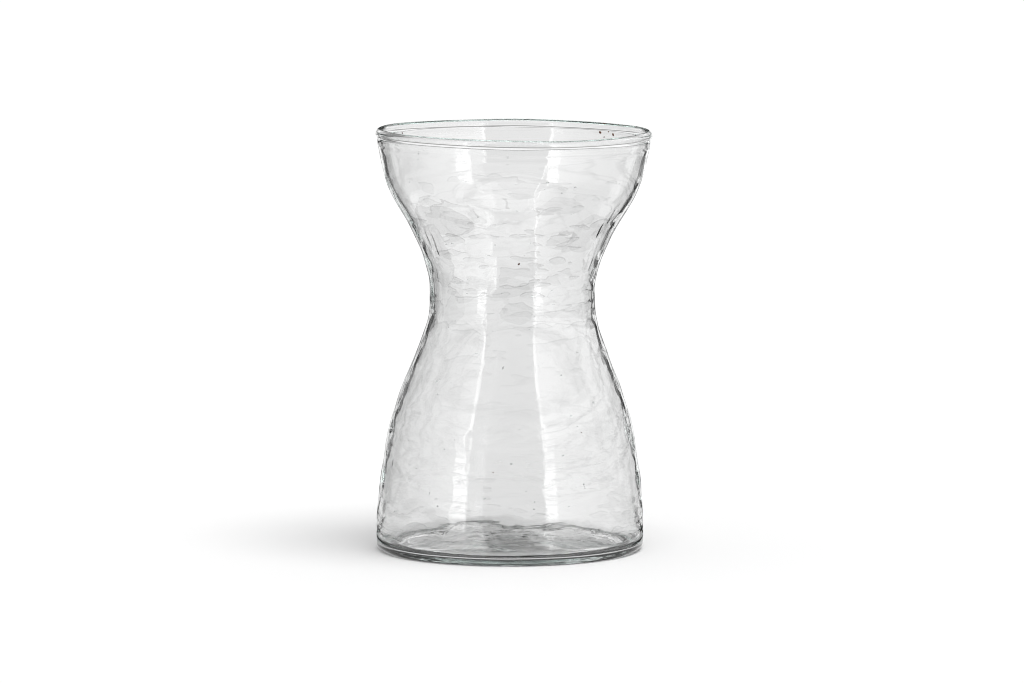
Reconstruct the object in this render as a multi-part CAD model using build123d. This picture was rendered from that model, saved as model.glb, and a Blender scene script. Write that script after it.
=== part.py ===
from build123d import *
import os

# Hyacinth forcing vase of mouth-blown clear glass. All sizes are in millimetres.
# The vase is one piece of glass. It is drawn as the five zones that a glassmaker names, from the table up:
# base, water chamber, waist, bulb cup and rim bead. Each zone is a closed ring or dish of its own, and the
# zones meet face to face on level planes. The origin is the middle of the foot, on the table, with +Z up.

# Overall sizes, measured over the outside of the glass.
height = 150.0
rim_diameter = 98.6
waist_diameter = 58.6
waist_height = 90.0
chamber_diameter = 95.2

# Wall of the blown glass, which is thickest where the waist was necked in.
rim_wall = 1.8
waist_wall = 2.2
chamber_wall = 1.8

# Rim: the edge of the wall, melted back into a round bead that is centred on the wall.
bead_thickness = 3.2
bead_land = 0.8

# Foot: a rounded heel, a level resting ring, and a punt pushed up inside the ring. Inside, the floor
# turns up into the wall through the inner heel, and the wall is upright for a short band above it.
heel_radius = 4.0
resting_ring_width = 4.0
punt_depth = 3.0
floor_thickness = 3.0
floor_centre_thickness = 3.6
inner_heel_radius = 4.5
straight_band = 1.0

# Height of the waist zone, half of it above the narrowest level and half below.
waist_zone_height = 30.0

# Run of the wall between two levels, as (share of the height, share of the radius).
# The chamber runs from its widest level, share 0, up to the waist, share 1, and its radius share
# falls from 1 to 0. The cup runs from the waist up to the bead, and its radius share climbs.
chamber_run_shares = [(0.23, 0.922), (0.44, 0.762), (0.615, 0.527), (0.755, 0.275), (0.88, 0.082)]
cup_run_shares = [(0.155, 0.035), (0.305, 0.19), (0.46, 0.415), (0.61, 0.69), (0.76, 0.88), (0.90, 0.974)]

# Steps along a wall at which its inside is set off from its outside.
inside_steps = 10

# Sizes that follow from those above.
waist_radius = waist_diameter / 2
chamber_radius = chamber_diameter / 2
chamber_widest_height = floor_thickness + inner_heel_radius + straight_band
bead_height = height - bead_thickness / 2
bead_radius = (rim_diameter - bead_thickness) / 2
cup_radius = bead_radius + rim_wall / 2
ring_outer_radius = chamber_radius - heel_radius
ring_inner_radius = ring_outer_radius - resting_ring_width
floor_radius = chamber_radius - chamber_wall - inner_heel_radius

# Levels at which one zone meets the next.
base_top = punt_depth + floor_centre_thickness + inner_heel_radius
waist_bottom = waist_height - waist_zone_height / 2
waist_top = waist_height + waist_zone_height / 2
bead_bottom = height - bead_thickness - bead_land


def run_points(low, high, shares):
    """Points (radius, height) of a wall from low to high, through its hand-chosen shares."""
    slim, wide = sorted((low[0], high[0]))
    points = [low]
    for height_share, radius_share in shares:
        level = low[1] + (high[1] - low[1]) * height_share
        points.append((slim + (wide - slim) * radius_share, level))
    points.append(high)
    return points


def wall_run(low, high, shares):
    """Outside of the wall between two levels, upright at both ends."""
    return Spline(*run_points(low, high, shares), tangents=((0, 1), (0, 1)))


def set_in(outside, wall_low, wall_high):
    """Inside of a wall: its outside moved square to itself by a wall that changes along it."""
    points = []
    for step in range(inside_steps + 1):
        share = step / inside_steps
        along = outside % share
        inwards = Vector(-along.Y, along.X)
        wall = wall_low + (wall_high - wall_low) * share
        points.append(outside @ share + inwards * wall)
    return Spline(*points, tangents=((0, 1), (0, 1)))


def wall_section():
    """Half section of the whole glass below the bead, in the plane of radius and height."""
    chamber = wall_run((chamber_radius, chamber_widest_height), (waist_radius, waist_height), chamber_run_shares)
    cup = wall_run((waist_radius, waist_height), (cup_radius, bead_height), cup_run_shares)
    chamber_inside = set_in(chamber, chamber_wall, waist_wall)
    cup_inside = set_in(cup, waist_wall, rim_wall)

    heel_start = (ring_outer_radius, 0)
    heel_end = (chamber_radius, heel_radius)
    inner_heel_start = (floor_radius, floor_thickness)
    inner_heel_end = (chamber_radius - chamber_wall, floor_thickness + inner_heel_radius)
    punt_top = (0, punt_depth)
    floor_top = (0, punt_depth + floor_centre_thickness)

    outline = [
        TangentArc(punt_top, (ring_inner_radius, 0), tangent=(1, 0)),
        Line((ring_inner_radius, 0), heel_start),
        TangentArc(heel_start, heel_end, tangent=(1, 0)),
        Line(heel_end, chamber @ 0),
        chamber,
        cup,
        Line(cup @ 1, cup_inside @ 1),
        cup_inside,
        chamber_inside,
        Line(chamber_inside @ 0, inner_heel_end),
        TangentArc(inner_heel_start, inner_heel_end, tangent=(1, 0)),
        TangentArc(floor_top, inner_heel_start, tangent=(1, 0)),
        Line(floor_top, punt_top),
    ]
    return make_face(Wire(outline))


def bead_section():
    """Round section of the bead, standing on the middle of the wall's edge."""
    return Pos(bead_radius, bead_height) * Circle(bead_thickness / 2)


def zone(section, low, high):
    """Ring or dish of glass between two levels, turned about the upright axis."""
    band = Pos(0, low) * Rectangle(rim_diameter + chamber_diameter, high - low, align=(Align.CENTER, Align.MIN))
    return revolve(Plane.XZ * (section & band), Axis.Z)


def make_parts():
    """Every zone of the vase by its name."""
    glass = wall_section() + bead_section()
    return {
        "base": zone(glass, 0, base_top),
        "water_chamber": zone(glass, base_top, waist_bottom),
        "waist": zone(glass, waist_bottom, waist_top),
        "bulb_cup": zone(glass, waist_top, bead_bottom),
        "rim_bead": zone(glass, bead_bottom, height),
    }


os.makedirs("parts", exist_ok=True)
for name, shape in make_parts().items():
    export_step(shape, f"parts/{name}.step")
    print(name, "volume", round(shape.volume), "mm3, size", shape.bounding_box().size)
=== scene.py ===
# %% [markdown]
# # Hyacinth forcing vase in mouth-blown glass
# The vase is one wall of clear glass: a wide water chamber, a tight waist that stops the bulb, and an open
# cup with a melted rim. The CAD model holds its true size and wall. This script keeps that wall, and adds
# what the glassmaker's hand leaves in it: hammered dents, ripples, seeds, a few stones and a slight lean.

# %% Frame
import math
import random

import bmesh
import bpy
from mathutils import Matrix, Vector, geometry, noise


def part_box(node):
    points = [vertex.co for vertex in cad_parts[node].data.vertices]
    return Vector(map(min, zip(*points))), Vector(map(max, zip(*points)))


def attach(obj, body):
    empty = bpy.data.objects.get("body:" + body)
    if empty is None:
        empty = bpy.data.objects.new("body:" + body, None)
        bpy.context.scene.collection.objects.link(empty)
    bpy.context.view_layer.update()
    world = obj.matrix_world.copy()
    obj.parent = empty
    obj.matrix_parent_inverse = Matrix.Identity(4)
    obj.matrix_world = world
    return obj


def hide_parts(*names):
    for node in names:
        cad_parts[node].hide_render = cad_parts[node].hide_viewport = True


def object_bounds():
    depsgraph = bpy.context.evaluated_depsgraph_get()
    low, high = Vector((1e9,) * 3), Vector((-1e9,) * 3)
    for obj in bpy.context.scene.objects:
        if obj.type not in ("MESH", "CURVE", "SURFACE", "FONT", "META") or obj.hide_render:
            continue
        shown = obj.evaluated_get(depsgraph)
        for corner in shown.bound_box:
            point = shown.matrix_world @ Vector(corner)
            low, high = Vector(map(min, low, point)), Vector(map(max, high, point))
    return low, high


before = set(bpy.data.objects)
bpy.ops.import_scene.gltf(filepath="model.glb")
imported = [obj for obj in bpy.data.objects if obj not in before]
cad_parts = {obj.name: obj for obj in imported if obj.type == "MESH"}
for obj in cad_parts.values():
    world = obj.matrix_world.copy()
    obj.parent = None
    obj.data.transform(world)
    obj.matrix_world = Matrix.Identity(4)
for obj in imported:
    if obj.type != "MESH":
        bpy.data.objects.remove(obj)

MM = 0.001
scene = bpy.context.scene
cad_low, cad_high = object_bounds()
vase_height = cad_high.z
print("CAD box in mm:", [round(side / MM, 1) for side in cad_high - cad_low])

# %% [markdown]
# ## Helpers
# A colour is written as the hex value that a colour picker shows, which is sRGB, while shader sockets hold
# linear light. One function turns the one into the other. A second adds any node with its settings, so
# that each material reads from top to bottom as a recipe.


# %% Colour and nodes
def linear(hex_colour):
    """Linear RGBA of an sRGB hex colour such as '#A0B0C0'."""
    channels = [int(hex_colour[i:i + 2], 16) / 255 for i in (1, 3, 5)]
    return [c / 12.92 if c <= 0.04045 else ((c + 0.055) / 1.055) ** 2.4 for c in channels] + [1.0]


def add(tree, kind, inputs=None, **settings):
    """Adds a node. inputs maps a socket's name or number to a value, or to the output that feeds it."""
    node = tree.nodes.new(kind)
    for name, value in settings.items():
        setattr(node, name, value)
    for socket, value in (inputs or {}).items():
        if isinstance(value, bpy.types.NodeSocket):
            tree.links.new(value, node.inputs[socket])
        else:
            node.inputs[socket].default_value = value
    return node


def add_ramp(tree, value, stops):
    """A colour ramp of grey levels, as (position, level), read at a value from 0 to 1."""
    node = add(tree, "ShaderNodeValToRGB", {"Fac": value})
    ramp = node.color_ramp
    ramp.elements.remove(ramp.elements[-1])
    for index, (position, level) in enumerate(stops):
        stop = ramp.elements[0] if index == 0 else ramp.elements.new(position)
        stop.position = position
        stop.color = (level, level, level, 1)
    return node.outputs["Color"]


def add_math(tree, operation, *values):
    """A math node on one, two or three values or outputs."""
    return add(tree, "ShaderNodeMath", dict(enumerate(values)), operation=operation).outputs[0]


def new_material(name):
    """An empty material and its node tree."""
    material = bpy.data.materials.new(name)
    material.use_nodes = True
    material.node_tree.nodes.clear()
    return material, material.node_tree


def new_piece(name, shape, material):
    """A smooth mesh object at the origin, made from a bmesh, which is then freed."""
    mesh = bpy.data.meshes.new(name)
    shape.to_mesh(mesh)
    shape.free()
    mesh.materials.append(material)
    mesh.shade_smooth()
    piece = bpy.data.objects.new(name, mesh)
    scene.collection.objects.link(piece)
    return piece


# %% [markdown]
# ## Camera
# A product photograph is taken from far off with a long lens: upright sides stay parallel, and the rim
# and the foot show as slim ellipses. The distance, the height and the lens were found by fitting the
# outline of the CAD glass to the outline in the photograph, and they agree to about a pixel.

# %% Camera
IMAGE_WIDTH = 1024
SENSOR_WIDTH = 36.0
camera_distance = 3.4
camera_elevation = math.radians(6.86)
pixels_per_metre = 2801.0
aim_point = Vector((0.8 * MM, 0, 74.5 * MM))

camera_data = bpy.data.cameras.new("camera")
camera_data.sensor_width = SENSOR_WIDTH
camera_data.lens = SENSOR_WIDTH * pixels_per_metre * camera_distance / IMAGE_WIDTH
camera = bpy.data.objects.new("camera", camera_data)
scene.collection.objects.link(camera)
to_camera = Vector((0, -math.cos(camera_elevation), math.sin(camera_elevation)))
camera.location = aim_point + to_camera * camera_distance
camera.rotation_mode = "QUATERNION"
camera.rotation_quaternion = to_camera.to_track_quat("Z", "Y")
scene.camera = camera
print("lens in mm:", round(camera_data.lens, 1))

# %% [markdown]
# ## Section of the glass
# A blown vessel is turned, so its shape is one line spun about the upright axis. The line could be drawn
# again from sizes, but the CAD zones already hold it. A merged copy of them is cut by an upright plane, and
# the cut edges are walked from the middle of the punt, out under the foot, up the outside, over the rim
# and down the inside to the middle of the floor. The level cuts between zones are left out of the walk.

# %% Read the section
WELD = 0.002 * MM


def cad_section():
    """Points of the half section, as vectors with x the radius and z the height, in walking order."""
    whole = bmesh.new()
    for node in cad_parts.values():
        whole.from_mesh(node.data)
    bmesh.ops.remove_doubles(whole, verts=whole.verts, dist=WELD)
    everything = whole.verts[:] + whole.edges[:] + whole.faces[:]
    cut = bmesh.ops.bisect_plane(
        whole, geom=everything, dist=WELD, plane_co=(0, 0, 0), plane_no=(0, 1, 0))["geom_cut"]
    zone_tops = [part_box(name)[1].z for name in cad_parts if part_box(name)[1].z < vase_height - WELD]
    beside = {}
    for edge in (part for part in cut if isinstance(part, bmesh.types.BMEdge)):
        a, b = (Vector((v.co.x, 0, v.co.z)).freeze() for v in edge.verts)
        between_zones = any(abs(a.z - top) < WELD and abs(b.z - top) < WELD for top in zone_tops)
        if min(a.x, b.x) > -WELD and not between_zones:
            beside.setdefault(a, []).append(b)
            beside.setdefault(b, []).append(a)
    whole.free()
    line = [min((p for p in beside if p.x < WELD), key=lambda p: p.z)]
    ahead = beside[line[0]]
    while ahead:
        line.append(ahead[0])
        ahead = [p for p in beside[line[-1]] if p != line[-2]]
    return line


section = cad_section()
rim_index = max(range(len(section)), key=lambda i: section[i].z)
print("section points:", len(section), "first", section[0][:], "last", section[-1][:])

# %% [markdown]
# ## Rows for the mesh
# The CAD points stand up to 5 mm apart, too coarse for dents. Bezier curves through them keep the line
# smooth, and points are set on those curves as close together as each stretch needs: 0.8 mm on the
# hammered outside, half of that round the bead, and two or three millimetres where the glass is plain.

# %% Set the rows
outside_row = 0.8 * MM
inside_row = 3.0 * MM
bead_row = 0.42 * MM
heel_row = 0.8 * MM
floor_row = 1.6 * MM
least_row_share = 0.6
base_low, base_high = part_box("base")
bead_low, bead_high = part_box("rim_bead")
foot_radius = base_high.x
floor_edge = foot_radius - 8 * MM
heel_start = max(point.x for point in section[:rim_index] if point.z < WELD)
heel_top = foot_radius - heel_start
inside_line = [point for point in section[rim_index:] if point.z < base_high.z + WELD]
inner_radius = max(point.x for point in inside_line)
inner_floor = min(point.z for point in inside_line)
inner_heel_start = max(point.x for point in inside_line if point.z < inner_floor + WELD)
inner_heel_top = inner_floor + inner_radius - inner_heel_start
inside_sizes = (inner_radius, inner_floor, inner_heel_start)
print("inside of the base in mm:", [round(size / MM, 2) for size in inside_sizes])


def row_gap(index):
    """Distance from one row of the mesh to the next at a point of the section."""
    point = section[index]
    if point.z < base_high.z:
        return floor_row if point.x < floor_edge else heel_row
    if point.z > bead_low.z:
        return bead_row
    return outside_row if index < rim_index else inside_row


def even_rows():
    """Points along smooth curves through the section, a row gap apart."""
    kept = [0]
    for index in range(1, len(section) - 1):
        if (section[index] - section[kept[-1]]).length > least_row_share * row_gap(index):
            kept.append(index)
    kept.append(len(section) - 1)
    rows = []
    for i, j in zip(kept, kept[1:]):
        here = kept.index(i)
        before = section[kept[max(here - 1, 0)]]
        after = section[kept[min(here + 2, len(kept) - 1)]]
        start, end = section[i], section[j]
        reach = (end - start).length / 3
        start_handle = start + (end - before).normalized() * reach
        end_handle = end - (after - start).normalized() * reach
        pieces = max(1, round((end - start).length / row_gap(i)))
        rows += geometry.interpolate_bezier(start, start_handle, end_handle, end, pieces + 1)[:-1]
    return rows + [section[-1]]


rows = even_rows()
rim_row = max(range(len(rows)), key=lambda i: rows[i].z)
print("rows:", len(rows), "of them outside:", rim_row)

# %% [markdown]
# ## Spin the line into a vessel
# Spin is the modeller's turning lathe: it copies the line round the axis and joins each copy to the last,
# and use_merge closes the ring. The two ends of the line lie on the axis, where the copies fall on one
# point, so they are merged there. Each point first gets a mark that says whether it is outside, because
# the hammer only met that side. The marks are copied along with the points.

# %% Spin
spin_steps = 288


def spun_glass():
    """The plain glass, turned from the rows, with a vertex layer that is 1 outside and 0 inside."""
    shape = bmesh.new()
    side = shape.verts.layers.float.new("outside")
    points = [shape.verts.new(row) for row in rows]
    for index, point in enumerate(points):
        point[side] = float(index <= rim_row)
    line = [shape.edges.new(pair) for pair in zip(points, points[1:])]
    bmesh.ops.spin(shape, geom=points + line, cent=(0, 0, 0), axis=(0, 0, 1), angle=math.tau,
                   steps=spin_steps, use_merge=True, use_normal_flip=False, use_duplicate=False)
    on_axis = [v for v in shape.verts if math.hypot(v.co.x, v.co.y) < WELD]
    bmesh.ops.remove_doubles(shape, verts=on_axis, dist=WELD)
    bmesh.ops.recalc_face_normals(shape, faces=shape.faces)
    shape.normal_update()
    return shape, side


glass_shape, outside_mark = spun_glass()
print("spun points:", len(glass_shape.verts),
      "outside:", sum(v[outside_mark] > 0.5 for v in glass_shape.verts),
      "open edges:", sum(not e.is_manifold for e in glass_shape.edges))

# %% [markdown]
# ## What the hand leaves in the glass
# Hammered glass is not regular. Several marks lie over each other here, each a height over the plain wall:
# a slow swell that comes from blowing, thin ripples where the skin chilled as it was turned, flat-topped
# puddles with soft steps round them, left by the wet wooden tool, and a wavy rim where the edge was melted
# back. The floor is uneven too, with the ring that the pontil rod left. They could be bump in the material,
# but glass bends what is behind it and shows every slope in its outline, so they are moved in the mesh. The
# dents fade out towards the rim and the foot. The heel is turned a little tighter than in the CAD.

# %% Marks of the hand
# How strongly the tool worked the glass, as (share of the height, share of the full depth).
hammer_shares = [(0.0, 0.0), (0.03, 0.25), (0.08, 0.6), (0.2, 0.6), (0.3, 0.85), (0.42, 0.5), (0.52, 0.7),
                 (0.6, 1.0), (0.8, 1.0), (0.86, 0.6), (0.9, 0.2), (0.95, 0.05), (1.0, 0.0)]
swell_depth = 0.3 * MM
swell_size = Vector((30, 30, 18)) * MM
dent_depth = 0.24 * MM
dent_size = Vector((16, 16, 7.5)) * MM
fine_dent_share = 0.3
fine_dent_count = 2.3
ripple_depth = 0.025 * MM
ripple_size = Vector((25, 25, 2.4)) * MM
ripple_shares = [(0.0, 0.3), (0.05, 1.0), (0.35, 1.0), (0.5, 0.4), (0.6, 0.2), (0.8, 0.0)]
puddle_step = 0.08 * MM
puddle_levels = (-0.12, 0.22)
puddle_edge = 0.2
inside_share = 0.4
rim_wave_depth = 0.2 * MM
rim_wave_start = 0.9
rim_rise = 0.5 * MM
lean = 1.5 * MM
tilt_right = 0.010
tilt_back = 0.0165
bead_swell_share = 0.09
bead_inside_share = 0.2
bead_outside_share = 0.2
bead_zone_share = 0.8
bead_ease_share = 0.4
bead_back = (0.2, 0.8)
heel_turn = 2.6 * MM
inner_heel_turn = 3.0 * MM
floor_drop = 1.0 * MM
floor_drop_fade = 4 * MM
floor_calm_shares = (0.75, 0.95)
floor_inside_share = 0.7
floor_wave_depth = 0.28 * MM
floor_wave_size = Vector((15, 15, 15)) * MM
floor_dimple_depth = 0.05 * MM
floor_dimple_size = Vector((5, 5, 5)) * MM
pontil_radius = 8 * MM
pontil_width = 2.2 * MM
pontil_depth = 0.3 * MM
pontil_grain = 2.5 * MM
pontil_least_share = 0.6


# %% Tables, steps and patterns
def between(table, place):
    """Value at a place in a table of (place, value), in straight steps from row to row."""
    for (low, low_value), (high, high_value) in zip(table, table[1:]):
        if place <= high:
            return low_value + (high_value - low_value) * max(0.0, (place - low) / (high - low))
    return table[-1][1]


def ease(low, high, value):
    """0 below low, 1 above high, and a smooth step between them."""
    t = min(1.0, max(0.0, (value - low) / (high - low)))
    return t * t * (3 - 2 * t)


def stretched(place, size):
    """A place counted in pattern sizes, one size for each axis."""
    return Vector((place.x / size.x, place.y / size.y, place.z / size.z))


# %% Relief of the wall and the floor
def relief(place):
    """How far the hammered outside stands off the plain wall at a place, in metres."""
    strength = between(hammer_shares, place.z / vase_height)
    swell = noise.noise(stretched(place, swell_size)) * swell_depth
    ripple = noise.noise(stretched(place, ripple_size)) * ripple_depth
    ripple *= between(ripple_shares, place.z / vase_height)
    dent = noise.noise(stretched(place, dent_size) + Vector((7, 3, 5)))
    level = dent + fine_dent_share * noise.noise(stretched(place, dent_size) * fine_dent_count)
    puddle = sum(ease(edge - puddle_edge / 2, edge + puddle_edge / 2, level) for edge in puddle_levels)
    return strength * (swell + ripple + dent * dent_depth + puddle * puddle_step)


def floor_relief(place):
    """Unevenness of the punt and the floor, with the ring that the pontil rod left, in metres."""
    radius = math.hypot(place.x, place.y)
    calm = 1 - ease(*floor_calm_shares, radius / foot_radius)
    wave = noise.noise(stretched(place, floor_wave_size)) * floor_wave_depth
    wave += noise.noise(stretched(place, floor_dimple_size)) * floor_dimple_depth
    ring = math.exp(-((radius - pontil_radius) / pontil_width) ** 2)
    rough = pontil_least_share + noise.noise(place / pontil_grain)
    return calm * (wave + ring * rough * pontil_depth)


# %% Rim, lean and heel
def rim_wave(angle):
    """Rise and fall of the melted rim round the vase, between about -1 and 1."""
    return 0.55 * math.sin(2 * angle + 0.6) + 0.3 * math.sin(3 * angle + 2.1) + 0.15 * math.sin(5 * angle)


def settle(place):
    """Moves a place by the wave and tilt of the rim and the lean of the whole vase."""
    share = place.z / vase_height
    angle = math.atan2(place.y, place.x)
    place.z += (rim_rise + rim_wave_depth * rim_wave(angle)) * ease(rim_wave_start, 1, share)
    place.z -= (place.x * tilt_right + place.y * tilt_back) * share
    place.x += lean * share
    place.z = max(place.z, 0.0)


def tighter_heel(place, outside):
    """Moves a point of the heel out to a heel that turns in a tighter round, and lowers the inside floor."""
    radius = math.hypot(place.x, place.y)
    if not outside:
        drop = floor_drop * (1 - ease(inner_heel_top, inner_heel_top + floor_drop_fade, place.z))
        over = max(inner_floor + inner_heel_turn - place.z, 0.0)
        if radius < inner_heel_start or place.z > inner_heel_top:
            return 0.0, -drop
        turned = inner_radius - inner_heel_turn + math.sqrt(max(inner_heel_turn ** 2 - over ** 2, 0.0))
        return turned - radius, -drop
    if place.z > heel_top or radius < heel_start - WELD:
        return 0.0, 0.0
    over = max(heel_turn - place.z, 0.0)
    return foot_radius - heel_turn + math.sqrt(heel_turn ** 2 - over ** 2) - radius, 0.0


# %% Hammer the glass
def hammer(shape, side):
    """Gives the plain glass its relief, its uneven bead, its wavy rim and its lean."""
    moves = []
    bead_thickness = (bead_high.z - bead_low.z) * bead_zone_share
    bead_radius = bead_high.x - bead_thickness / 2
    bead_height = bead_high.z - bead_thickness / 2
    for point in shape.verts:
        place, radial = point.co.copy(), Vector((point.co.x, point.co.y, 0)).normalized()
        if place.z < base_high.z and math.hypot(place.x, place.y) < floor_edge:
            lift = floor_relief(place)
            if not point[side]:
                lift = lift * floor_inside_share - floor_drop
            moves.append(Vector((0, 0, lift)))
            continue
        move = radial * relief(place) * (1.0 if point[side] else inside_share)
        out, up = tighter_heel(place, point[side] > 0.5)
        move += radial * out + Vector((0, 0, up))
        bead_middle = radial * bead_radius + Vector((0, 0, bead_height))
        swelling = bead_swell_share * rim_wave(2 * math.atan2(place.y, place.x) + 1)
        on_bead = ease(bead_low.z, bead_height, place.z)
        move += (place - bead_middle) * swelling * on_bead
        inner = ease(0, 1, (bead_radius - math.hypot(place.x, place.y)) / (bead_ease_share * bead_thickness))
        move += radial * inner * on_bead * bead_inside_share * bead_thickness
        outer = ease(0, 1, (math.hypot(place.x, place.y) - bead_radius) / (bead_ease_share * bead_thickness))
        behind = ease(*bead_back, radial.y)
        move -= radial * outer * on_bead * behind * bead_outside_share * bead_thickness
        moves.append(move)
    for point, move in zip(shape.verts, moves):
        point.co += move
        settle(point.co)


hammer(glass_shape, outside_mark)
print("glass height in mm:", round(max(v.co.z for v in glass_shape.verts) / MM, 2))

# %% [markdown]
# ## Seeds
# Seeds are tiny bubbles of gas left in the melt. In the solid they are small hollows, so each is a closed
# shell inside the wall whose faces point into the bubble, away from the glass. An icosphere is enough.

# %% Seeds
seed_count = 110
seed_radii = (0.16 * MM, 0.38 * MM)
seed_heights = (9 * MM, 138 * MM)
seed_stretch = (1.0, 2.2)
draw = random.Random(11)


def radius_at(height, outside):
    """Radius of the plain outside or inside of the wall at a height."""
    wall = rows[:rim_row] if outside else rows[rim_row:]
    wall = [row for row in wall if row.x > floor_edge or row.z > base_high.z]
    return min(wall, key=lambda row: abs(row.z - height)).x


def in_wall(angle, height, depth_share=0.5):
    """A place in the finished wall, by its angle from the camera's side, its height and share of depth."""
    radius = radius_at(height, True) * (1 - depth_share) + radius_at(height, False) * depth_share
    place = Vector((math.sin(angle) * radius, -math.cos(angle) * radius, height))
    shift = relief(place) * (1 - (1 - inside_share) * depth_share)
    place += Vector((math.sin(angle), -math.cos(angle), 0)) * shift
    settle(place)
    return place


def add_seed(shape):
    """One bubble in the wall, drawn out sideways as the glass was turned."""
    angle, height = draw.uniform(0, math.tau), draw.uniform(*seed_heights)
    radius = draw.uniform(*seed_radii) * draw.uniform(0.5, 1)
    scale = Matrix.Diagonal((radius * draw.uniform(*seed_stretch), radius * 0.8, radius, 1))
    spot = Matrix.Translation(in_wall(angle, height)) @ Matrix.Rotation(angle, 4, "Z") @ scale
    bmesh.ops.create_icosphere(shape, subdivisions=1, radius=1, matrix=spot)


seed_shape = bmesh.new()
for _ in range(seed_count):
    add_seed(seed_shape)
bmesh.ops.reverse_faces(seed_shape, faces=seed_shape.faces)
seed_mesh = bpy.data.meshes.new("seeds")
seed_shape.to_mesh(seed_mesh)
seed_shape.free()
glass_shape.from_mesh(seed_mesh)
bpy.data.meshes.remove(seed_mesh)
print("seeds:", seed_count, "triangles:", sum(len(face.verts) - 2 for face in glass_shape.faces))

# %% [markdown]
# ## Clear glass
# Soda-lime glass, blown and fire-polished: it is perfectly smooth, bends light with an index of 1.52 and
# takes a faint green-grey from iron in the sand. The tint belongs inside the glass, where it deepens with
# thickness, so it is an absorbing volume and not a surface colour. Ripples too fine for the mesh are bump.
# Grey puddles with dark outlines, some larger pools and a few short creases are painted reflection: dark
# marks in the colour of the outside, standing in for what the hammered skin mirrors and bends. An image could
# hold them, but a noise cut off at a level draws the puddles, and a short table of ellipses with wavy edges
# places the rest. All of them only darken the light that crosses the outside.

# %% Sizes of the skin marks
glass_ior = 1.52
absorption_density = 15.0
absorption_tint = "#DCE3E1"
# Cords: faint threads of denser glass that run round the vase.
cord_width = 1.3 * MM
cord_length_share = 0.13
cord_depth = 0.02 * MM
cord_shares = [(0.0, 0.3), (0.06, 1.0), (0.4, 0.8), (0.55, 0.1), (0.6, 0.0)]
# Painted puddles, dark marks of painted reflection: where a stretched noise passes a level, as (noise, 1
# inside the puddle).
painted_puddle_size = Vector((12, 12, 3.8)) * MM
painted_puddle_stops = [(0.0, 0), (0.6, 0), (0.604, 1)]
# Painted pools and short painted creases, dark marks of painted reflection: (degrees from the camera, height
# in mm, half the width in degrees, half the height in mm, share of the light that is lost).
painted_pools = [(-40, 121, 22, 6, 0.24), (-52, 107, 12, 11, 0.24), (-46, 92, 12, 9, 0.1), (46, 116, 13, 7, 0.15),
         (24, 127, 12, 3, 0.12), (-4, 97, 15, 4, 0.12), (6, 88, 12, 3.5, 0.14), (-25, 98, 9, 3, 0.1),
         (-66, 30, 10, 3, 0.08), (-51.7, 111.5, 0.8, 4.0, 0.86), (-57.5, 112.8, 0.7, 3.4, 0.84),
         (-61, 100, 0.7, 2.6, 0.82), (56.6, 116.4, 0.8, 2.8, 0.86), (60.2, 121.4, 0.8, 2.8, 0.86),
         (70, 122.4, 3.0, 0.35, 0.8), (62, 104, 0.7, 2.8, 0.82), (-68, 33, 0.7, 1.4, 0.82)]
# What loses more than this is a crease.
painted_crease_loss = 0.5
pool_wobble = Vector((14, 5, 0))
pool_wobble_size = Vector((13, 13, 6)) * MM
crease_wobble_share = 0.2
# Height of the dark painted outline along the top edge of each puddle.
painted_outline_width = 0.45 * MM
painted_puddle_tint = 0.17
painted_outline_tint = 0.2
# How strongly the painted puddles and their outlines show, as (share of the height, share of their tint).
painted_reflection_shares = [(0.0, 0.0), (0.04, 0.7), (0.1, 0.7), (0.15, 0.1), (0.3, 0.15), (0.45, 0.25), (0.55, 0.5),
               (0.65, 0.9), (0.8, 1.0), (0.86, 0.5), (0.885, 0.0)]


# %% Noise, pools and creases
def add_noise(tree, place, size, detail=0.0, output="Fac"):
    """Noise at a place, with one pattern size for each axis."""
    scaled = add(tree, "ShaderNodeMapping", {"Vector": place, "Scale": [1 / side for side in size]})
    grain = add(tree, "ShaderNodeTexNoise", {
        "Vector": scaled.outputs["Vector"], "Scale": 1.0, "Detail": detail, "Roughness": 0.45})
    return grain.outputs[output]


def add_painted_pools(tree, place):
    """How much light the painted pools and creases take at a place, each an ellipse on the wall with a wavy
    edge.
    """
    xyz = add(tree, "ShaderNodeSeparateXYZ", {"Vector": place}).outputs
    turn = add_math(tree, "ARCTAN2", xyz["X"], add_math(tree, "MULTIPLY", xyz["Y"], -1.0))
    spot = add(tree, "ShaderNodeCombineXYZ", {"X": add_math(tree, "DEGREES", turn),
                                              "Y": add_math(tree, "DIVIDE", xyz["Z"], MM)}).outputs["Vector"]
    wobble = add(tree, "ShaderNodeVectorMath", {0: add_noise(tree, place, pool_wobble_size, 2.0, "Color"),
                                                1: (0.5, 0.5, 0.5)}, operation="SUBTRACT").outputs["Vector"]
    painted_loss = 0.0
    for degrees, height, half_width, half_height, loss in painted_pools:
        share = 1.0 if loss < painted_crease_loss else crease_wobble_share
        moved = add(tree, "ShaderNodeVectorMath", {0: wobble, 1: pool_wobble * share, 2: spot},
                    operation="MULTIPLY_ADD").outputs["Vector"]
        moved = add(tree, "ShaderNodeVectorMath", {0: moved, 1: (degrees, height, 0)},
                    operation="SUBTRACT").outputs["Vector"]
        moved = add(tree, "ShaderNodeVectorMath", {0: moved, 1: (1 / half_width, 1 / half_height, 0)},
                    operation="MULTIPLY").outputs["Vector"]
        away = add(tree, "ShaderNodeVectorMath", {0: moved}, operation="LENGTH").outputs["Value"]
        inside = add_math(tree, "MULTIPLY", add_math(tree, "LESS_THAN", away, 1.0), loss)
        painted_loss = add_math(tree, "MAXIMUM", painted_loss, inside)
    return painted_loss


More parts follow.
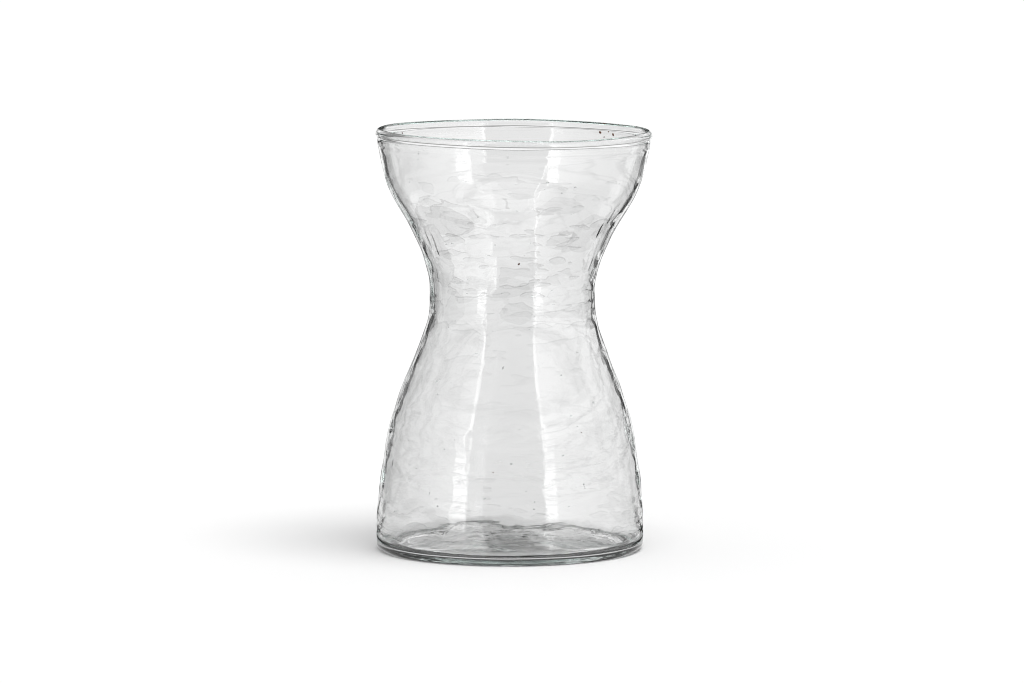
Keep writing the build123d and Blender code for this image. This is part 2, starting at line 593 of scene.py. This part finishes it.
# %% Glass material
def clear_glass():
    """Blown soda-lime glass with a faint body tint, faint cords, and painted reflection: dark-edged puddles,
    pools and creases.
    """
    material, tree = new_material("blown_soda_lime_glass")
    here = add(tree, "ShaderNodeTexCoord").outputs["Object"]
    share = add(tree, "ShaderNodeSeparateXYZ", {"Vector": here}).outputs["Z"]
    share = add_math(tree, "DIVIDE", share, vase_height)
    outside = add(tree, "ShaderNodeAttribute", attribute_name="outside").outputs["Fac"]
    cord_length = cord_width / cord_length_share
    cords = add_noise(tree, here, (cord_length, cord_length, cord_width), detail=2.0)
    cords = add_math(tree, "MULTIPLY", cords, add_ramp(tree, share, cord_shares))
    bump = add(tree, "ShaderNodeBump", {"Height": add_math(tree, "MULTIPLY", cords, outside),
                                        "Distance": cord_depth})
    above = add(tree, "ShaderNodeVectorMath", {0: here, 1: (0, 0, painted_outline_width)}, operation="ADD")
    above = above.outputs["Vector"]
    # Painted reflection: puddles, a dark outline along their tops, pools and creases darken the colour of the
    # outside.
    puddle = add_ramp(tree, add_noise(tree, here, painted_puddle_size, detail=1.0), painted_puddle_stops)
    puddle_above = add_ramp(tree, add_noise(tree, above, painted_puddle_size, detail=1.0), painted_puddle_stops)
    painted_outline = add_math(tree, "MAXIMUM", add_math(tree, "SUBTRACT", puddle, puddle_above), 0.0)
    painted_loss = add_math(tree, "ADD", add_math(tree, "MULTIPLY", puddle, painted_puddle_tint),
                    add_math(tree, "MULTIPLY", painted_outline, painted_outline_tint))
    painted_loss = add_math(tree, "MULTIPLY", painted_loss, add_ramp(tree, share, painted_reflection_shares))
    painted_loss = add_math(tree, "MINIMUM", add_math(tree, "ADD", painted_loss, add_painted_pools(tree, here)), 1.0)
    kept = add_math(tree, "SUBTRACT", 1.0, add_math(tree, "MULTIPLY", painted_loss, outside))
    colour = add(tree, "ShaderNodeCombineColor", {"Red": kept, "Green": kept, "Blue": kept}).outputs["Color"]
    surface = add(tree, "ShaderNodeBsdfPrincipled", {
        "Base Color": colour, "Roughness": 0.0, "IOR": glass_ior, "Transmission Weight": 1.0,
        "Normal": bump.outputs["Normal"]})
    body = add(tree, "ShaderNodeVolumeAbsorption", {
        "Color": linear(absorption_tint), "Density": absorption_density})
    add(tree, "ShaderNodeOutputMaterial", {"Surface": surface.outputs[0], "Volume": body.outputs[0]})
    return material


glass = new_piece("blown_glass", glass_shape, clear_glass())
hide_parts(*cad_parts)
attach(glass, "root")
print("glass faces:", len(glass.data.polygons))

# %% [markdown]
# ## Stones
# Stones are grains of brick or sand from the furnace that never melted. Hand-made glass has a few, dark
# brown and angular. Each is an icosphere pushed about by noise, flattened into the wall.

# %% Stones
grain_turn = 0.9
grain_lump = 0.3 * MM
grain_roughness = 0.06 * MM
# Vector noise starts from an offset that follows the clock, so it is seeded to give the same grains each run.
grain_seed = 5
# Each stone: degrees round from the camera's side, height in mm, and length in mm.
stones = [(139, 146.4, 1.3), (136.5, 144.9, 0.7), (134, 146.9, 0.7), (131, 146.0, 1.2), (129, 144.6, 0.9),
          (118, 145.6, 0.8), (4, 105.6, 1.0), (-115, 146.6, 1.4), (-122, 146.4, 0.9), (36, 46.0, 0.5),
          (-8, 33.0, 0.5)]


def stone_material():
    """Fired clay from the furnace wall: dull, dark brown, a little mottled."""
    material, tree = new_material("furnace_stone")
    here = add(tree, "ShaderNodeTexCoord")
    grain = add(tree, "ShaderNodeTexNoise", {"Vector": here.outputs["Object"], "Scale": 1 / (0.2 * MM)})
    colour = add(tree, "ShaderNodeValToRGB", {"Fac": grain.outputs["Fac"]})
    colour.color_ramp.elements[0].color = linear("#4A2A1C")
    colour.color_ramp.elements[1].color = linear("#B06E48")
    surface = add(tree, "ShaderNodeBsdfPrincipled", {"Base Color": colour.outputs["Color"], "Roughness": 0.8})
    add(tree, "ShaderNodeOutputMaterial", {"Surface": surface.outputs[0]})
    return material


def stone_grains():
    """All the stones as one mesh of separate grains."""
    noise.seed_set(grain_seed)
    shape = bmesh.new()
    for degrees, height, length in stones:
        angle = math.radians(degrees)
        size = Matrix.Diagonal((length / 2 * MM, length / 5 * MM, length / 3 * MM, 1))
        tip = Matrix.Rotation(draw.uniform(-grain_turn, grain_turn), 4, "Y")
        turned = Matrix.Rotation(angle, 4, "Z") @ tip
        spot = Matrix.Translation(in_wall(angle, height * MM)) @ turned @ size
        points = bmesh.ops.create_icosphere(shape, subdivisions=2, radius=1, matrix=spot)["verts"]
        for point in points:
            point.co += noise.noise_vector(point.co / grain_lump) * grain_roughness
    return shape


grains = new_piece("furnace_stones", stone_grains(), stone_material())
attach(grains, "root")
print("stones:", len(stones))

# %% [markdown]
# ## Light tent
# Glass shows nothing of itself, only what it mirrors and bends. It is photographed inside a white tent with
# a slot for the lens: the panels beside the slot draw the bright flanks, and the slot itself draws the
# grey band down the middle. The tent here is a spun shell round the vase that only mirrored light meets.
# Area lamps could stand there, but a shell that glows by direction and height is tuned strip by strip: lamps
# beside the slot, seams between the panels, and dark cloths behind, which draw the edges of the glass.
# All its values were found by trial at this one camera, to bring the tones of the glass near. What they draw
# from other sides is only plausible.
# The floor and the white distance are what is seen through the glass, from every side.

# %% Sizes and lights of the tent
tent_radius = 0.25
tent_height = 0.42
tent_strength = 5.0
# Light from the tent's wall by direction round the vase: (degrees from the camera, brightness).
tent_light_shares = [(-180, 0.13), (-171, 0.13), (-169, 0.24), (-150, 0.2), (-138, 0.11), (-136, 0.075),
                     (-120, 0.06), (-90, 0.08), (-60, 0.17), (-49, 0.26), (-39, 0.3), (-38, 0.7), (-36, 0.8),
                     (-35.5, 0.09), (28.5, 0.09), (29, 0.85), (30.5, 0.8), (31.5, 0.45), (60, 0.34),
                     (95, 0.26), (118, 0.22), (126, 0.16), (140, 0.16), (150, 0.24), (169, 0.26),
                     (171, 0.15), (180, 0.15)]
# Lamps beside the slot: where they stand round the vase, and how high, as (place, 1 where there is lamp).
lamp_sides = [(-180, 0), (-49, 0), (-48.5, 1), (-36, 1), (-35.5, 0), (28.5, 0), (29, 1), (38, 1), (38.5, 0),
              (180, 0)]
lamp_heights = [(0, 0.2), (5, 0.2), (7, 1), (12, 1), (14, 0.2), (18, 0.2), (20, 1), (28, 1), (30, 0.3),
                (34, 0.3), (36, 1), (50, 1), (52, 0.2), (57, 0.2), (59, 1), (70, 1), (72, 0.3), (78, 0.3),
                (80, 1), (88, 1), (98, 0), (420, 0)]
lamp_share = 0.95
# Bars of dark cloth behind the vase: (degrees from the camera to either side, share of the light).
back_bars = [(0, 1), (141, 1), (142, 0.05), (149, 0.05), (150, 1), (158, 1), (159, 0.4), (161, 0.4),
             (162, 1), (180, 1)]
# Panels of cloth one above the other, with dark seams between: (height in mm, share of the light).
tent_panels = [(0, 0.85), (36, 0.85), (37, 0.1), (40, 0.1), (41, 0.85), (60, 0.85), (61, 0.1), (64, 0.1),
               (65, 0.85), (80, 0.85), (81, 0.5), (96, 0.5), (97, 1.1), (120, 1.1), (121, 0.1), (125, 0.1),
               (126, 1.1), (155, 1.1), (156, 0.5), (178, 0.5), (179, 1.0), (310, 0.9), (326, 0.9),
               (327, 0.1), (332, 0.1), (333, 1.2), (352, 1.2), (353, 0.3), (370, 0.3), (371, 1.2), (420, 1.2)]
# Above these heights the slot for the lens and the dark cloth behind the vase give way to plain cloth.
slot_top = 250 * MM
slot_half_width = math.radians(36)
back_top = 150 * MM
back_start = math.radians(140)
plain_cloth = 0.24
# Dark cloths behind, which the floor of the vase mirrors: (degrees from the camera where each starts to
# either side, height where it starts and where it ends in mm, brightness).
dark_cloths = [(158, 44, 88, 0.1), (177, 46, 112, 0.015), (165, 112, 245, 0.015)]


# %% Tent fabric
def tent_material():
    """Glows by direction round the vase, and lets every ray through that no glass has mirrored yet."""
    material, tree = new_material("tent_fabric")
    here = add(tree, "ShaderNodeTexCoord").outputs["Object"]
    xyz = add(tree, "ShaderNodeSeparateXYZ", {"Vector": here}).outputs
    turn = add_math(tree, "ARCTAN2", xyz["X"], add_math(tree, "MULTIPLY", xyz["Y"], -1.0))
    part = add(tree, "ShaderNodeMapRange", {"Value": turn, "From Min": -math.pi, "From Max": math.pi})
    sides = add_ramp(tree, part.outputs["Result"],
                     [((degrees + 180) / 360, light) for degrees, light in tent_light_shares])
    wide = add_math(tree, "ABSOLUTE", turn)
    bars = add_ramp(tree, add_math(tree, "DIVIDE", wide, math.pi),
                    [(degrees / 180, light) for degrees, light in back_bars])
    sides = add_math(tree, "MULTIPLY", sides, bars)
    lamps = add_ramp(tree, part.outputs["Result"], [((at + 180) / 360, lamp) for at, lamp in lamp_sides])
    up = add_math(tree, "DIVIDE", xyz["Z"], tent_height)
    low = add_ramp(tree, up, [(height * MM / tent_height, lamp) for height, lamp in lamp_heights])
    lamps = add_math(tree, "MULTIPLY", add_math(tree, "MULTIPLY", lamps, low), lamp_share)
    sides = add_math(tree, "MAXIMUM", sides, lamps)
    panels = add_ramp(tree, up, [(height * MM / tent_height, light) for height, light in tent_panels])
    over_slot = add_math(tree, "MULTIPLY", add_math(tree, "LESS_THAN", wide, slot_half_width),
                         add_math(tree, "GREATER_THAN", xyz["Z"], slot_top))
    over_back = add_math(tree, "MULTIPLY", add_math(tree, "GREATER_THAN", wide, back_start),
                         add_math(tree, "GREATER_THAN", xyz["Z"], back_top))
    plain = add_math(tree, "ADD", over_slot, over_back)
    cloth = add(tree, "ShaderNodeMix", {"Factor": plain, "A": sides, "B": plain_cloth},
                data_type="FLOAT").outputs["Result"]
    for start, low_end, high_end, brightness in dark_cloths:
        inside = add_math(tree, "MULTIPLY", add_math(tree, "GREATER_THAN", xyz["Z"], low_end * MM),
                          add_math(tree, "LESS_THAN", xyz["Z"], high_end * MM))
        inside = add_math(tree, "MULTIPLY", inside, add_math(tree, "GREATER_THAN", wide, math.radians(start)))
        cloth = add(tree, "ShaderNodeMix", {"Factor": inside, "A": cloth, "B": brightness},
                    data_type="FLOAT").outputs["Result"]
    light = add_math(tree, "MULTIPLY", cloth, panels)
    glow = add(tree, "ShaderNodeEmission", {"Strength": add_math(tree, "MULTIPLY", light, tent_strength)})
    clear = add(tree, "ShaderNodeBsdfTransparent")
    path = add(tree, "ShaderNodeLightPath").outputs
    mirrored = add_math(tree, "GREATER_THAN", path["Glossy Depth"], 0.5)
    both = add(tree, "ShaderNodeMixShader", {0: mirrored, 1: clear.outputs[0], 2: glow.outputs[0]})
    add(tree, "ShaderNodeOutputMaterial", {"Surface": both.outputs[0]})
    material.cycles.emission_sampling = "NONE"
    return material


# %% Tent shell
tent_rows = 10
tent_steps = 96
# 1 is a plain half round, and less stands the sides up straighter.
tent_roundness = 0.5


def tent_shell():
    """A domed shell round the vase, open at the floor."""
    shape = bmesh.new()
    points = []
    for row in range(tent_rows + 1):
        turn = row * math.pi / 2 / tent_rows
        radius = tent_radius * math.cos(turn) ** tent_roundness if row < tent_rows else 0
        points.append(shape.verts.new((radius, 0, tent_height * math.sin(turn))))
    line = [shape.edges.new(pair) for pair in zip(points, points[1:])]
    bmesh.ops.spin(shape, geom=points + line, cent=(0, 0, 0), axis=(0, 0, 1), angle=math.tau,
                   steps=tent_steps, use_merge=True)
    bmesh.ops.remove_doubles(shape, verts=shape.verts, dist=WELD)
    bmesh.ops.recalc_face_normals(shape, faces=shape.faces)
    return shape


tent = new_piece("light_tent", tent_shell(), tent_material())
tent.visible_camera = tent.visible_diffuse = tent.visible_shadow = False

# %% [markdown]
# ## Table
# The table is white and lit to white, so only the shadow of the vase is drawn on it. Light that a real vase
# gathers under its foot, or traps in its wall, is slow and noisy to trace. So the table carries stand-ins,
# painted light and painted shade seen only through the glass: rings of glow and of shade under the heel, a
# soft patch of shade, and a lift for light that the glass has mirrored very often. Dark cards round the foot,
# met only by mirrored light, draw the thin level lines low on the wall. They were all fitted by trial, as the
# tent was.

# %% Sizes and lights of the table
floor_radius = 8.0
floor_white = "#FDFDFD"
floor_in_glass = "#E7E7E7"
# Glow under and round the foot, and the shade where the heel meets the table: (radius in mm, strength).
foot_glow = [(0, 0.34), (39.3, 0.34), (39.7, 0), (41.5, 0), (41.8, 0.06), (42.9, 0.06), (43.2, 0.4),
             (44.4, 0.4), (44.7, 0), (49, 0), (49.5, 0.1), (60, 0.08), (95, 0.05), (110, 0), (240, 0)]
foot_shade = [(0, 0), (39.4, 0), (39.7, 1), (41.5, 1), (41.8, 0.8), (42.9, 0.8), (43.2, 0), (44.4, 0),
              (44.7, 0.7), (48.6, 0.7), (49.5, 0), (240, 0)]
# Painted shade under the middle of the floor, a soft ellipse: patch_edge has where its edge starts and ends.
patch_half_width = 19 * MM
patch_half_depth = 21 * MM
patch_middle = Vector((-3, -5, 0)) * MM
patch_edge = (0.2, 1.15)
patch_shade = 0.6
# Behind this line the shade of the heel is weaker.
shade_end = 12 * MM
shade_behind = 0.3
# Lift for light mirrored very often before it meets the table, as light trapped in the wall is. Both values
# were found by trial and have no physical reason. They brighten the lines of the rim, and some in the foot.
guided_light = 1.2
guided_bounces = 26.5
# Between these radii the heel stands over the table. Only light mirrored exactly once meets a lit table
# there. That count was found by trial too and has no physical reason. It draws light lines in the foot.
heel_shade_start = 39.5 * MM
heel_shade_end = 44.8 * MM
# Dark cards laid round the foot, met only by mirrored light: (radius in mm, 1 where there is card).
cards = [(0, 0), (60, 0), (61, 1), (64, 1), (65, 0), (76, 0), (77, 1), (84, 1), (85, 0), (102, 0), (103, 1),
         (106, 1), (107, 0), (131, 0), (132, 1), (135, 1), (136, 0), (200, 0), (201, 1), (206, 1), (207, 0),
         (240, 0)]
card_reach = 240 * MM
# Strips of card that run out from the vase: (degrees from the camera to either side, 1 where there is card).
strips = [(0, 0), (124, 0), (125, 1), (130, 1), (131, 0), (144, 0), (145, 1), (149, 1), (150, 0), (157, 0),
          (158, 1), (165, 1), (166, 0), (175, 0), (176, 1), (180, 1)]
# Faint light of the dark cards, and of the painted shade on the table.
card_and_shade_light = 0.02
strips_start = foot_radius * 1.1
# Past this radius light from the glass misses the table and meets the distance.
table_reach = 200 * MM


# %% Table material
def table_material():
    """White table, greyer through glass, with painted glow and shade under the foot, and cards only the glass
    mirrors.
    """
    material, tree = new_material("white_table")
    here = add(tree, "ShaderNodeTexCoord").outputs["Object"]
    path = add(tree, "ShaderNodeLightPath").outputs
    colour = add(tree, "ShaderNodeMix", {"Factor": path["Is Camera Ray"], "A": linear(floor_in_glass),
                                         "B": linear(floor_white)}, data_type="RGBA")
    face = add(tree, "ShaderNodeBsdfDiffuse", {"Color": colour.outputs["Result"]})
    away = add(tree, "ShaderNodeVectorMath", {0: here}, operation="LENGTH").outputs["Value"]
    part = add_math(tree, "DIVIDE", away, card_reach)
    rings, under, shade = (
        add_ramp(tree, part, [(radius * MM / card_reach, value) for radius, value in table])
        for table in (cards, foot_glow, foot_shade))
    xyz = add(tree, "ShaderNodeSeparateXYZ", {"Vector": here}).outputs
    # Painted shade: a soft dark patch on the table under the middle of the vase's floor.
    patch = add(tree, "ShaderNodeVectorMath", {0: here, 1: patch_middle}, operation="SUBTRACT")
    patch = add(tree, "ShaderNodeVectorMath", {
        0: patch.outputs["Vector"], 1: (1 / patch_half_width, 1 / patch_half_depth, 0)}, operation="MULTIPLY")
    patch = add(tree, "ShaderNodeVectorMath", {0: patch.outputs["Vector"]}, operation="LENGTH")
    patch = add(tree, "ShaderNodeMapRange", {
        "Value": patch.outputs["Value"], "From Min": patch_edge[0], "From Max": patch_edge[1],
        "To Min": patch_shade, "To Max": 0.0}).outputs["Result"]
    front = add_math(tree, "MAXIMUM", add_math(tree, "LESS_THAN", xyz["Y"], shade_end), shade_behind)
    shade = add_math(tree, "MAXIMUM", add_math(tree, "MULTIPLY", shade, front), patch)
    heel = add_math(tree, "MULTIPLY", add_math(tree, "GREATER_THAN", away, heel_shade_start),
                    add_math(tree, "LESS_THAN", away, heel_shade_end))
    once = add_math(tree, "COMPARE", path["Glossy Depth"], 1.0, 0.1)
    heel = add_math(tree, "MULTIPLY", heel, add_math(tree, "SUBTRACT", 1.0, once))
    shade = add_math(tree, "MAXIMUM", shade, heel)
    guided = add_math(tree, "GREATER_THAN", path["Glossy Depth"], guided_bounces)
    through = add_math(tree, "GREATER_THAN", path["Transmission Depth"], 0.5)
    shade = add_math(tree, "MULTIPLY", shade, add_math(tree, "SUBTRACT", through, guided))
    under = add_math(tree, "MULTIPLY", under, add_math(tree, "SUBTRACT", 1.0, heel))
    glow = add_math(tree, "ADD", under, add_math(tree, "MULTIPLY", guided, guided_light))
    glow = add(tree, "ShaderNodeEmission", {"Strength": add_math(tree, "MULTIPLY", glow, through)})
    lit = add(tree, "ShaderNodeAddShader", {0: face.outputs[0], 1: glow.outputs[0]})
    turn = add_math(tree, "ARCTAN2", xyz["X"], add_math(tree, "MULTIPLY", xyz["Y"], -1.0))
    behind = add_ramp(tree, add_math(tree, "DIVIDE", add_math(tree, "ABSOLUTE", turn), math.pi),
                      [(at / 180, card) for at, card in strips])
    behind = add_math(tree, "MULTIPLY", behind, add_math(tree, "GREATER_THAN", away, strips_start))
    mirrored = add_math(tree, "GREATER_THAN", path["Glossy Depth"], 0.5)
    covered = add_math(tree, "MULTIPLY", add_math(tree, "MAXIMUM", rings, behind), mirrored)
    covered = add_math(tree, "MAXIMUM", covered, shade)
    # The dark cards and all the painted shade on the table show this one faint light.
    card = add(tree, "ShaderNodeEmission", {"Strength": card_and_shade_light})
    whole = add(tree, "ShaderNodeMixShader", {0: covered, 1: lit.outputs[0], 2: card.outputs[0]})
    past = add_math(tree, "MULTIPLY", add_math(tree, "GREATER_THAN", away, table_reach),
                    path["Is Transmission Ray"])
    clear = add(tree, "ShaderNodeBsdfTransparent")
    whole = add(tree, "ShaderNodeMixShader", {0: past, 1: whole.outputs[0], 2: clear.outputs[0]})
    add(tree, "ShaderNodeOutputMaterial", {"Surface": whole.outputs[0]})
    material.cycles.emission_sampling = "NONE"
    return material


floor_shape = bmesh.new()
bmesh.ops.create_circle(floor_shape, cap_ends=True, segments=96, radius=floor_radius)
floor = new_piece("table", floor_shape, table_material())
print("table radius in m:", floor_radius)

# %% [markdown]
# ## Distance and key light
# The sky lights the table evenly, and a broad lamp overhead, a little to the right and the front, lays the
# soft shadow to the left. A lit room could do this too, but a plain sky costs no time and stays white behind
# the vase. The distance is white to the camera. Light that has crossed the glass meets a grey sheet there,
# whose faint bands draw thin level lines in the wall.

# %% Distance
sky_light = 0.61
# (sine of the height over the horizon, brightness): the sheet, then white, a dark gap, and white again.
sheet = [(-0.5, 0.84), (-0.262, 0.84), (-0.258, 0.76), (-0.254, 0.80), (-0.212, 0.80), (-0.208, 0.76),
         (-0.204, 0.85), (-0.172, 0.85), (-0.170, 0.78), (-0.168, 0.82), (-0.151, 0.82), (-0.150, 0.84),
         (-0.086, 0.84), (-0.084, 0.78), (-0.082, 0.81), (-0.060, 0.81), (-0.058, 0.76), (-0.056, 0.85),
         (-0.030, 0.85), (-0.027, 0.76), (-0.024, 0.81), (0.0, 0.81), (0.004, 1.0), (0.06, 1.0),
         (0.09, 0.35), (0.24, 0.35), (0.28, 1.0)]


def studio_world():
    """White to the camera, faint bands to light from the glass, and a level sky to light the floor by."""
    world = bpy.data.worlds.new("studio")
    world.use_nodes = True
    tree = world.node_tree
    tree.nodes.clear()
    path = add(tree, "ShaderNodeLightPath").outputs
    way = add(tree, "ShaderNodeTexCoord").outputs["Generated"]
    up = add(tree, "ShaderNodeSeparateXYZ", {"Vector": way}).outputs["Z"]
    bands = add_ramp(tree, add_math(tree, "ADD", up, 0.5), [(sine + 0.5, light) for sine, light in sheet])
    distance = add(tree, "ShaderNodeMix", {"Factor": path["Is Transmission Ray"], "A": 1.0, "B": bands},
                   data_type="FLOAT").outputs["Result"]
    seen = add_math(tree, "MAXIMUM", add_math(tree, "MAXIMUM", path["Is Camera Ray"], path["Is Glossy Ray"]),
                    path["Is Transmission Ray"])
    seen = add_math(tree, "MULTIPLY", seen, add_math(tree, "LESS_THAN", path["Diffuse Depth"], 0.5))
    level = add(tree, "ShaderNodeMix", {"Factor": seen, "A": sky_light, "B": distance}, data_type="FLOAT")
    sky = add(tree, "ShaderNodeBackground", {"Color": (1, 1, 1, 1), "Strength": level.outputs["Result"]})
    add(tree, "ShaderNodeOutputWorld", {"Surface": sky.outputs[0]})
    return world


scene.world = studio_world()
print("stops of the sheet:", len(sheet))

# %% Key light
key_light = 0.44
key_direction = Vector((math.tan(math.radians(10)), -math.tan(math.radians(12)), 1)).normalized()
key_softness = math.radians(34)

key_data = bpy.data.lights.new("key", "SUN")
key_data.energy = key_light * math.pi / key_direction.z
key_data.angle = key_softness
key = bpy.data.objects.new("key", key_data)
key.rotation_mode = "QUATERNION"
key.rotation_quaternion = key_direction.to_track_quat("Z", "Y")
key.visible_glossy = key.visible_transmission = False
scene.collection.objects.link(key)
print("the table is lit to", round(sky_light + key_light, 2), "of white")

# %% [markdown]
# ## Colour management and the last checks
# Standard shows a colour as it is written. Light crosses the glass many times at the foot, so the limits
# on bounces are raised.

# %% Finish
scene.view_settings.view_transform = "Standard"
scene.cycles.filter_width = 1.0
scene.cycles.max_bounces = 64
scene.cycles.transmission_bounces = 64
scene.cycles.glossy_bounces = 64
scene.cycles.transparent_max_bounces = 64
